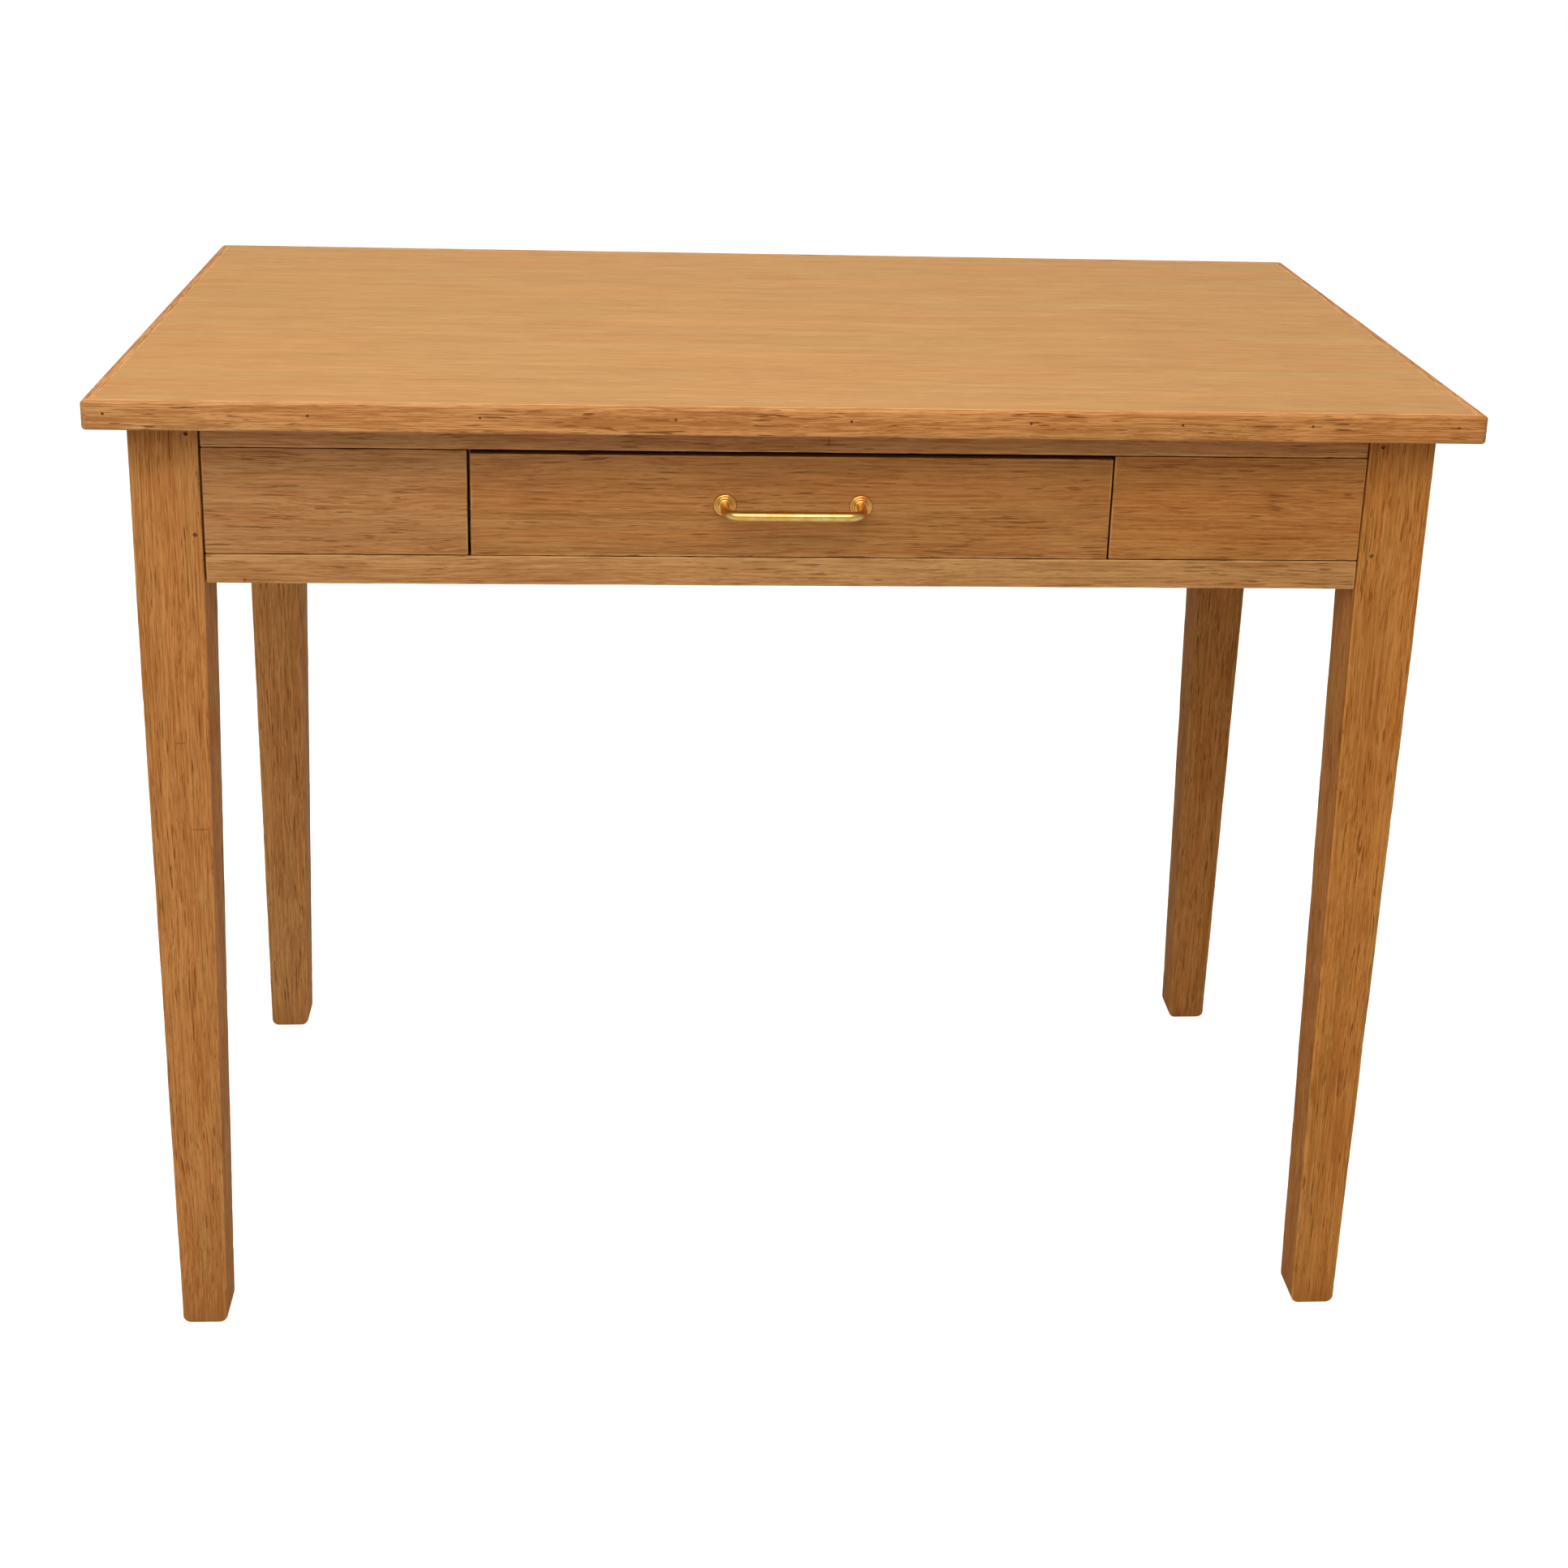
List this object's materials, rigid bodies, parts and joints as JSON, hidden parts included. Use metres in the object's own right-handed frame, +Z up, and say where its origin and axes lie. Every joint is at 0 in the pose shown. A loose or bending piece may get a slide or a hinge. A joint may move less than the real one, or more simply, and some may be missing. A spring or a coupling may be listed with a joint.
{
  "type": "writing desk with drawer",
  "caption": "Oak writing desk with square tapered legs, a framed apron holding a central drawer with a brass bow handle between fixed panels, and a lipped veneered top.",
  "frame": {"origin": "on the floor, under the middle of the top", "axes": "+X to the right as seen from the front, -Y towards the person sitting (the drawer opens towards -Y), +Z up"},
  "size_m": [0.956, 0.54, 0.755],
  "materials": {
    "top_veneer": "straight-grained oak veneer, sanded, satin oil",
    "lipping_oak": "solid oak lipping, grain along its length, satin oil",
    "leg_oak": "solid oak, upright grain, worn edges, satin oil",
    "rail_oak": "solid oak, level grain, satin oil",
    "panel_oak": "solid oak, level grain with dark pores, satin oil",
    "inner_beech": "bare planed beech",
    "plywood": "bare birch plywood",
    "brass": "brushed satin brass",
    "screw_steel": "plain steel",
    "nail_steel": "darkened steel nail head, set in"
  },
  "bodies": {
    "frame": {"leg_front_left": "leg_oak", "leg_rear_left": "leg_oak", "leg_front_right": "leg_oak", "leg_rear_right": "leg_oak", "leg_pin_left_upper": "nail_steel", "leg_pin_left_lower": "nail_steel", "leg_pin_right_upper": "nail_steel", "leg_pin_right_lower": "nail_steel", "upper_front_rail": "rail_oak", "lower_front_rail": "rail_oak", "front_panel_left": "panel_oak", "front_panel_right": "panel_oak", "side_apron_left": "rail_oak", "side_apron_right": "rail_oak", "rear_apron": "rail_oak", "drawer_runner_left": "inner_beech", "drawer_kicker_left": "inner_beech", "drawer_guide_left": "inner_beech", "drawer_stop_left": "inner_beech", "drawer_runner_right": "inner_beech", "drawer_kicker_right": "inner_beech", "drawer_guide_right": "inner_beech", "drawer_stop_right": "inner_beech", "top_button_left_front": "inner_beech", "top_button_left_rear": "inner_beech", "top_button_right_front": "inner_beech", "top_button_right_rear": "inner_beech", "top_button_rear_left": "inner_beech", "top_button_rear_right": "inner_beech", "button_screw_left_front": "screw_steel", "button_screw_left_rear": "screw_steel", "button_screw_right_front": "screw_steel", "button_screw_right_rear": "screw_steel", "button_screw_rear_left": "screw_steel", "button_screw_rear_right": "screw_steel", "top_panel": "top_veneer", "lipping_front": "lipping_oak", "lipping_rear": "lipping_oak", "lipping_left": "lipping_oak", "lipping_right": "lipping_oak", "lipping_nail_1": "nail_steel", "lipping_nail_2": "nail_steel", "lipping_nail_3": "nail_steel", "lipping_nail_4": "nail_steel", "lipping_nail_5": "nail_steel", "lipping_nail_6": "nail_steel", "lipping_nail_7": "nail_steel", "lipping_nail_8": "nail_steel", "lipping_nail_9": "nail_steel"},
    "drawer": {"drawer_front": "panel_oak", "drawer_side_left": "inner_beech", "drawer_side_right": "inner_beech", "drawer_back": "inner_beech", "drawer_bottom": "plywood", "handle_bar": "brass", "handle_rosette_left": "brass", "handle_rosette_right": "brass", "handle_screw_left": "screw_steel", "handle_screw_right": "screw_steel"}
  },
  "joints": [
    {"name": "drawer_slide", "type": "slide", "parent": "frame", "child": "drawer", "axis": [0, -1, 0], "range_m": [0, 0.33]}
  ]
}
